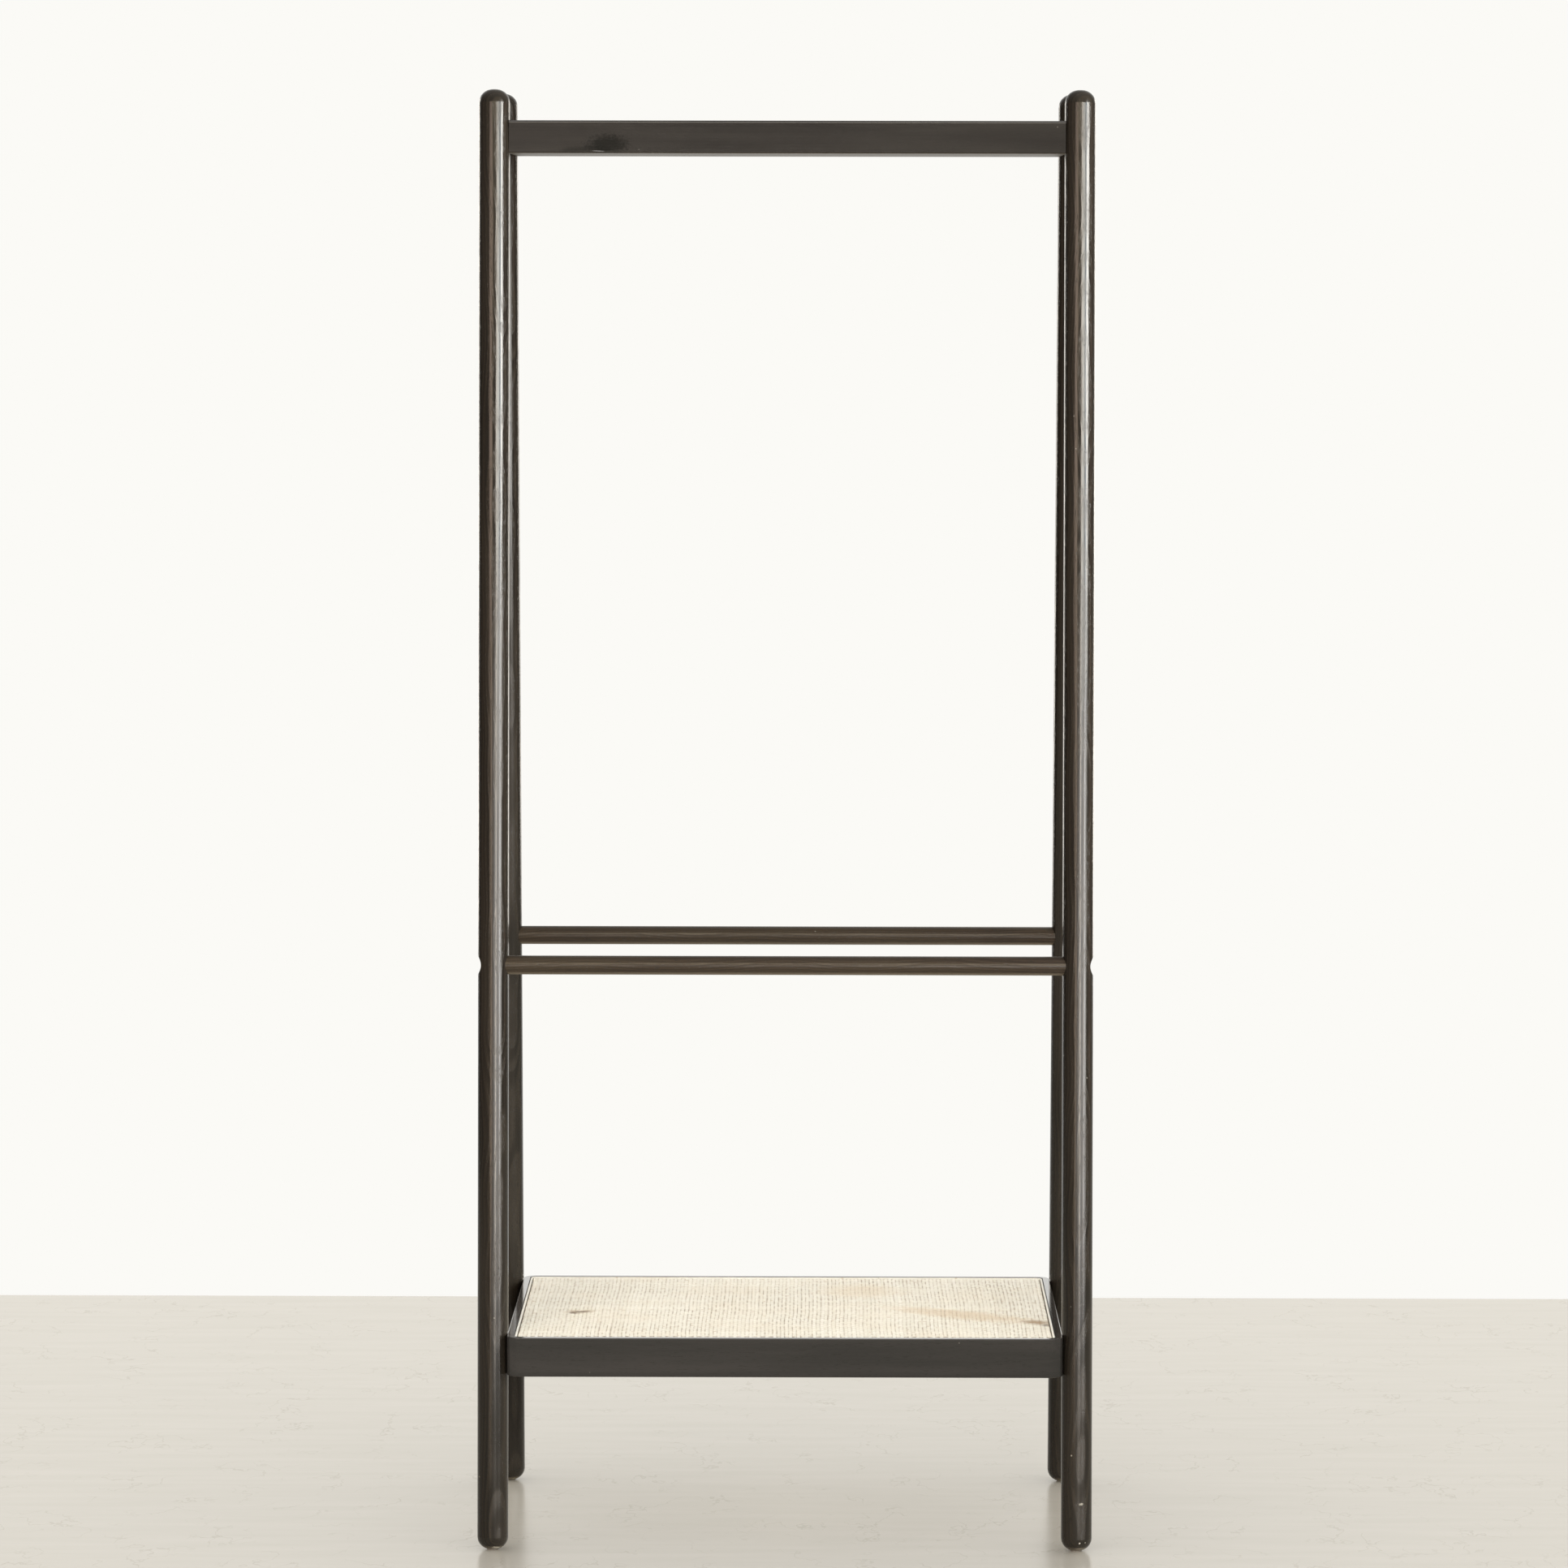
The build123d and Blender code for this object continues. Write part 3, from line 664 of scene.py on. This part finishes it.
def weave(names, along_y):
    """Strips carried along all strands of one direction at once, split into named pieces.

    Each middle line is its row on the bent grid, with a cosine that rises over one crossing and
    falls under the next. The profile stands square to it and level from side to side.
    """
    offset, crossings = (warp_rows, weft_rows) if along_y else (weft_rows, warp_rows)
    count, half = len(offset), half_y if along_y else half_x
    base_width = STRAND_WIDTH if along_y else WEFT_WIDTH
    run, fall = strand_run(half, crossings)
    u, v = (offset[:, None], run[None, :]) if along_y else (run[None, :], offset[:, None])
    x = u + bend_grid(u, v, wander_x) * edge_fade(u, half_x)
    y = v + bend_grid(v, u, wander_y) * edge_fade(v, half_y)
    phase = np.pi * np.interp(run, crossings, np.arange(len(crossings)))
    side = np.where((np.arange(count) + (0 if along_y else 1)) % 2 == 0, 1.0, -1.0)
    z = WEAVE_Z + RISE * side[:, None] * np.cos(phase) * edge_rise(run, half) - fall
    middle = np.stack(np.broadcast_arrays(x, y, z), axis=-1)

    # Forwards along the strand, sideways level, and up from the two
    forward = np.gradient(middle, axis=1)
    forward /= np.linalg.norm(forward, axis=-1, keepdims=True)
    sideways = np.array((1.0, 0, 0) if along_y else (0, -1.0, 0))
    up = np.cross(sideways, forward)
    up /= np.linalg.norm(up, axis=-1, keepdims=True)
    width = base_width * weave_rng.normal(1, 0.05, count)[:, None, None, None]
    across = STRAND_PROFILE[:, 0, None] * width * sideways
    above = STRAND_PROFILE[:, 1, None] * STRAND_THICK * up[:, :, None, :]
    points = middle[:, :, None, :] + across + above
    # Where a point lies on its strand, for fibres that follow it, and the strand's own tint
    shape = points.shape[:3]
    share = np.broadcast_to(STRAND_PROFILE[:, 0] * STRAND_WIDTH, shape)
    length = np.broadcast_to(run[None, :, None], shape)
    tint = weave_rng.uniform(0.35, 1, count) if along_y else weave_rng.uniform(0, 0.65, count)
    tint = np.broadcast_to(tint[:, None, None], shape)
    where = np.stack([share, length, tint], axis=-1)

    pieces = []
    for name, strands in zip(names, np.array_split(np.arange(count), len(names))):
        pieces.append(strip_mesh(name, points[strands], where[strands], "cane_panel"))
    return pieces


warps = weave([f"cane_warps_{i}" for i in (1, 2, 3)], True)
wefts = weave([f"cane_wefts_{i}" for i in (1, 2, 3)], False)
woven = warps + wefts
print("faces:", {piece.name: len(piece.data.polygons) for piece in woven})

# %% [markdown]
# ## Cane as a material
# Unvarnished cane keeps the palm's own glossy skin. Fine fibres run along each strand, its colour
# goes from cream to straw from one strand to the next, and every 20 to 30 cm a leaf scar left a
# brown ring, which shows as a short tan spot. Dust settles in the hollows, and the hollows are also
# painted darker as painted shade, which draws the ribs. Use has left a few stains and one split
# strand. The fibres and scars follow the strand, so they read its own coordinates.

# %% Choose the cane's colours and stains
FIBRE_WIDTH, FIBRE_LENGTH = 0.35 * MM, 14 * MM  # real fibres are half as wide and wouldn't show
SCAR_SPACING, SCAR_LENGTH = 0.27, 4 * MM
DUST_AND_SHADE_SPOT = (1 / 5.0, 1 / 16, 0)  # one lump every 5 mm across the ribs and 16 mm along them
STRAW, CREAM, FIBRE, WARM = "#E2E0D2", "#F8F8EF", "#DCD3C1", "#E8DDC7"
# Real dust and the shade painted into the hollows share one brown
DUST_AND_SHADE, SCAR = "#8C7350", "#A98A5C"
# Stains: middle, half size, turn, colour and strength
cane_stains = [
    ((0.205, -0.050, 0.244), (0.120, 0.034, 1), -0.55, "#CDB48C", 0.48),
    ((0.289, -0.100, 0.244), (0.024, 0.017, 1), -0.5, "#96774A", 0.80),
    ((0.299, -0.118, 0.244), (0.008, 0.010, 1), -0.4, "#5E4A2C", 0.60),
    ((0.090, 0.110, 0.244), (0.060, 0.060, 1), 0.3, "#DBC8A8", 0.35),
    ((-0.238, -0.035, 0.244), (0.022, 0.014, 1), 0.3, "#B09870", 0.60),
    ((-0.238, -0.036, 0.244), (0.014, 0.0060, 1), 0.25, "#5A472C", 0.90),
    ((-0.246, -0.043, 0.244), (0.006, 0.0080, 1), 0.3, "#6A5434", 0.85),
]
print("stains:", len(cane_stains))

# %% Make the cane's material


def cane_dust_and_shade(add, place, dust_and_shade_strength):
    """Share of dust and painted shade: by depth below the crests, by zones of 70 mm, by rows of
    hollows.
    """
    up = add("SeparateXYZ", {0: place}).node.outputs["Z"]
    # Painted shade with some real dust: darker the lower a point lies below the crests
    dust_and_shade = add("MapRange", {0: up, 1: WEAVE_Z + RISE, 2: WEAVE_Z - 0.2 * MM, 3: 0.0, 4: dust_and_shade_strength})
    zones = add("TexNoise", {"Vector": place, "Scale": 14.0, "Detail": 2.0})
    zones = add("MapRange", {0: zones, 1: 0.40, 2: 0.62, 3: 0.45, 4: 1.15})
    drawn = add("VectorMath", {0: place, 1: DUST_AND_SHADE_SPOT}, operation="MULTIPLY")
    drawn = add("VectorMath", {0: drawn, "Scale": 1 / MM}, operation="SCALE")
    spots = add("TexNoise", {"Vector": drawn, "Scale": 1.0, "Detail": 1.0})
    spots = add("MapRange", {0: spots, 1: 0.38, 2: 0.62, 3: 0.1, 4: 1.9})
    zones = add("Math", {0: zones, 1: spots}, operation="MULTIPLY")
    return add("Math", {0: dust_and_shade, 1: zones}, operation="MULTIPLY", use_clamp=True)


def leaf_scar(add, tint, length):
    """Share of scar: a short spot once in each spacing, shifted by the strand's own tint."""
    turns = add("Math", {0: tint, 1: 17.3, 2: 0.5}, operation="MULTIPLY_ADD")
    turns = add("Math", {0: length, 1: 1 / SCAR_SPACING, 2: turns}, operation="MULTIPLY_ADD")
    near = add("Math", {0: turns}, operation="FRACT")
    near = add("Math", {0: near, 1: 0.5}, operation="SUBTRACT")
    near = add("Math", {0: near}, operation="ABSOLUTE")
    edge = 0.5 * SCAR_LENGTH / SCAR_SPACING
    return add("MapRange", {0: near, 1: edge, 2: 0.3 * edge, 3: 0.0, 4: 0.4})


def split_cane(name, stains, dust_and_shade_strength):
    """Unvarnished split rattan with its glossy skin."""
    material, add = new_material(name)
    place = add("TexCoord", out="Object")
    own = add("Attribute", out="Vector", attribute_name="strand")
    tint = add("SeparateXYZ", {0: own}).node.outputs["Z"]
    length = tint.node.outputs["Y"]
    # The last factor sets each strand's fibres apart from its neighbours'
    per_fibre = (1 / FIBRE_WIDTH, 1 / FIBRE_LENGTH, 97.0)
    fine = add("VectorMath", {0: own, 1: per_fibre}, operation="MULTIPLY")
    fibre = add("TexNoise", {"Vector": fine, "Scale": 1.0, "Detail": 3.0, "Roughness": 0.6})
    cloud = add("TexNoise", {"Vector": place, "Scale": 9.0, "Detail": 3.0})

    colour = add("Mix", {0: tint, 6: linear(STRAW), 7: linear(CREAM)}, **OF_COLOURS)
    shade = add("MapRange", {0: fibre, 1: 0.35, 2: 0.75, 3: 0.0, 4: 0.35})
    colour = add("Mix", {0: shade, 6: colour, 7: linear(FIBRE)}, **OF_COLOURS)
    warm = add("MapRange", {0: cloud, 1: 0.45, 2: 0.75, 3: 0.0, 4: 0.35})
    colour = add("Mix", {0: warm, 6: colour, 7: linear(WARM)}, **OF_COLOURS)
    # Dust, and shade painted into the hollows between the strands
    dust_and_shade = cane_dust_and_shade(add, place, dust_and_shade_strength)
    colour = add("Mix", {0: dust_and_shade, 6: colour, 7: linear(DUST_AND_SHADE)}, **OF_COLOURS)
    scar = leaf_scar(add, tint, length)
    colour = add("Mix", {0: scar, 6: colour, 7: linear(SCAR)}, **OF_COLOURS)

    blur = add("TexNoise", {"Vector": place, "Scale": 120.0, "Detail": 3.0})
    for centre, size, angle, hue, strength in stains:
        reach = mark_reach(add, place, centre, size, (0, 0, angle), blur, 0.9)
        inside = add("MapRange", {0: reach, 1: 1.45, 2: 0.85, 3: 0.0, 4: strength})
        colour = add("Mix", {0: inside, 6: colour, 7: linear(hue)}, **OF_COLOURS)

    bump = add("Bump", {"Height": fibre, "Strength": 0.6, "Distance": 0.05 * MM})
    gloss = add("MapRange", {0: fibre, 1: 0.3, 2: 0.7, 3: 0.36, 4: 0.52})
    shader = add(
        "BsdfPrincipled", {"Base Color": colour, "Roughness": gloss, "IOR": 1.5, "Normal": bump}
    )
    add("OutputMaterial", {"Surface": shader})
    return material


# 0.72 is the most dust and painted shade, at the bottom of the hollows
cane = split_cane("split_cane", cane_stains, 0.72)
for piece in woven:
    piece.data.materials.append(cane)
print("nodes in the cane's material:", len(cane.node_tree.nodes))

# %% [markdown]
# ## The reed
# A wet reed is hammered into the groove over the turned-down cane and dries tight, so its round
# back stands a little proud, not quite level. It is one length that goes round the shelf and meets
# itself at the back. One domed profile is carried along a rectangle with rounded corners. Peeled
# reed is the same palm as the cane, so it takes the same material without dust or stains.

# %% Trace the groove
reed_low, reed_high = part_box("cane_spline")
REED_WIDTH = 2.7 * MM
REED_CORNER = 5.0 * MM
REED_STEP = 2.0 * MM
REED_GAP = 0.3 * MM  # where its two ends meet
GROOVE_GAP = 0.35 * MM  # between the reed and the rim
reach_x = reed_high[0] - REED_WIDTH / 2 - GROOVE_GAP
reach_y = reed_high[1] - REED_WIDTH / 2 - GROOVE_GAP
# Corner points of a rounded rectangle: each corner's centre plus a quarter turn, then even steps
CORNER_POINTS = 9
quarter = np.linspace(0, pi / 2, CORNER_POINTS)
centres = [(1, 1), (-1, 1), (-1, -1), (1, -1)]
outline = np.concatenate(
    [
        np.stack(
            [
                sx * (reach_x - REED_CORNER) + REED_CORNER * np.cos(quarter + k * pi / 2),
                sy * (reach_y - REED_CORNER) + REED_CORNER * np.sin(quarter + k * pi / 2),
            ],
            axis=-1,
        )
        for k, (sx, sy) in enumerate(centres)
    ]
)
joint = np.array((0.11, reach_y))  # the ends meet on the back rail
after_joint, before_joint = outline[CORNER_POINTS:], outline[:CORNER_POINTS]
outline = np.concatenate([[joint], after_joint, before_joint, [joint]])
walked = np.concatenate([[0], np.cumsum(np.linalg.norm(np.diff(outline, axis=0), axis=1))])
print("reed length in m:", round(float(walked[-1]), 3))

# %% Bend the reed round the shelf
# Across and up from the reed's top, in millimetres, counter-clockwise seen along it
REED_PROFILE = MM * np.array(
    [(-1.35, -6.8), (1.35, -6.8), (1.35, -1.1), (1.1, -0.42), (0.6, -0.06), (0, 0)]
    + [(-0.6, -0.06), (-1.1, -0.42), (-1.35, -1.1)]
)
REED_TINT = 0.8
around = np.linspace(REED_GAP / 2, walked[-1] - REED_GAP / 2, int(walked[-1] / REED_STEP))
path = np.stack([np.interp(around, walked, outline[:, i]) for i in (0, 1)], axis=-1)
ahead = np.gradient(path, axis=0)
ahead /= np.linalg.norm(ahead, axis=1, keepdims=True)
outwards = np.stack([ahead[:, 1], -ahead[:, 0]], axis=-1)
# Hammered home unevenly: two slow sines sink it by up to 0.12 mm
lift = -0.12 * MM * (1 + np.sin(around * 41) * np.sin(around * 17 + 1)) / 2
across = REED_PROFILE[None, :, 0, None] * outwards[:, None, :]
level = reed_high[2] + lift[:, None] + REED_PROFILE[None, :, 1]
reed_points = np.concatenate([path[:, None, :] + across, level[:, :, None]], axis=-1)[None]
shape = reed_points.shape[:3]
reed_share = np.broadcast_to(REED_PROFILE[:, 0], shape)
reed_length = np.broadcast_to(around[None, :, None], shape)
reed_where = np.stack([reed_share, reed_length, np.full(shape, REED_TINT)], axis=-1)
reed = strip_mesh("cane_reed", reed_points, reed_where, "cane_spline")
# The reed gets no dust and no painted shade
reed.data.materials.append(split_cane("peeled_reed", (), 0.0))
print("faces of the reed:", len(reed.data.polygons))

# %% [markdown]
# ## Small parts
# Beech dowels and metal fixings hold the stand together, and thin glides keep the feet off the
# floor. Most of them hardly show. Each still gets the finish of the real thing: short brown flecks
# in the beech, a dull grey crystal bloom on the dark zinc plating, turning marks on the brass, and
# the fine grain that a sand-blasted mould leaves on plastic. One noise does for each, stretched or
# not, because none of them fills more than a few millimetres of the view.

# %% Make the small parts' finish


def small_part(name, settings, colours, scale, stretch, rough, depth):
    """Two colours mixed by one noise, which also varies the roughness and the surface height."""
    material, add = new_material(name)
    place = add("TexCoord", out="Object")
    drawn = add("VectorMath", {0: place, 1: stretch}, operation="MULTIPLY")
    noise = add("TexNoise", {"Vector": drawn, "Scale": scale, "Detail": 3.0, "Roughness": 0.6})
    share = add("MapRange", {0: noise, 1: 0.35, 2: 0.65})
    dark, light = (linear(colour) for colour in colours)
    colour = add("Mix", {0: share, 6: dark, 7: light}, **OF_COLOURS)
    gloss = add("MapRange", {0: share, 3: rough[0], 4: rough[1]})
    bump = add("Bump", {"Height": noise, "Strength": 1.0, "Distance": depth})
    surface = {"Base Color": colour, "Roughness": gloss, "Normal": bump, **settings}
    add("OutputMaterial", {"Surface": add("BsdfPrincipled", surface)})
    return material


# Name, settings, colours, lumps per metre (0.4 to 1.1 mm each), stretch, roughness and depth
METAL, DULL = {"Metallic": 1.0}, {"IOR": 1.5}
EVEN, ALONG_GRAIN, ROUND_AXIS = (1, 1, 1), (0.12, 1, 1), (1, 0.2, 0.2)
finishes = [
    ("raw_beech", DULL, ("#A88158", "#C9A67A"), 900, ALONG_GRAIN, (0.55, 0.7), 0.05 * MM),
    ("dark_zinc_steel", METAL, ("#4E4B48", "#6A6661"), 1500, EVEN, (0.32, 0.5), 0.01 * MM),
    ("turned_brass", METAL, ("#B98F48", "#D2AC66"), 2600, ROUND_AXIS, (0.25, 0.4), 0.01 * MM),
    ("moulded_polythene", DULL, ("#86847F", "#93918C"), 2200, EVEN, (0.5, 0.62), 0.02 * MM),
]
beech, zinc, brass, glide = (small_part(*finish) for finish in finishes)
print("finishes:", len(finishes))

# %% Finish the small parts
small_parts = {
    "top_rail_dowels": beech,
    "shelf_frame_dowels": beech,
    "crossbar_bolts": zinc,
    "crossbar_washers": zinc,
    "shelf_bolts": zinc,
    "shelf_washers": zinc,
    "crossbar_inserts": brass,
    "shelf_inserts": brass,
    "foot_glides": glide,
}
for name, material in small_parts.items():
    nodes[name].data.materials.clear()
    nodes[name].data.materials.append(material)
print("small parts:", len(small_parts))
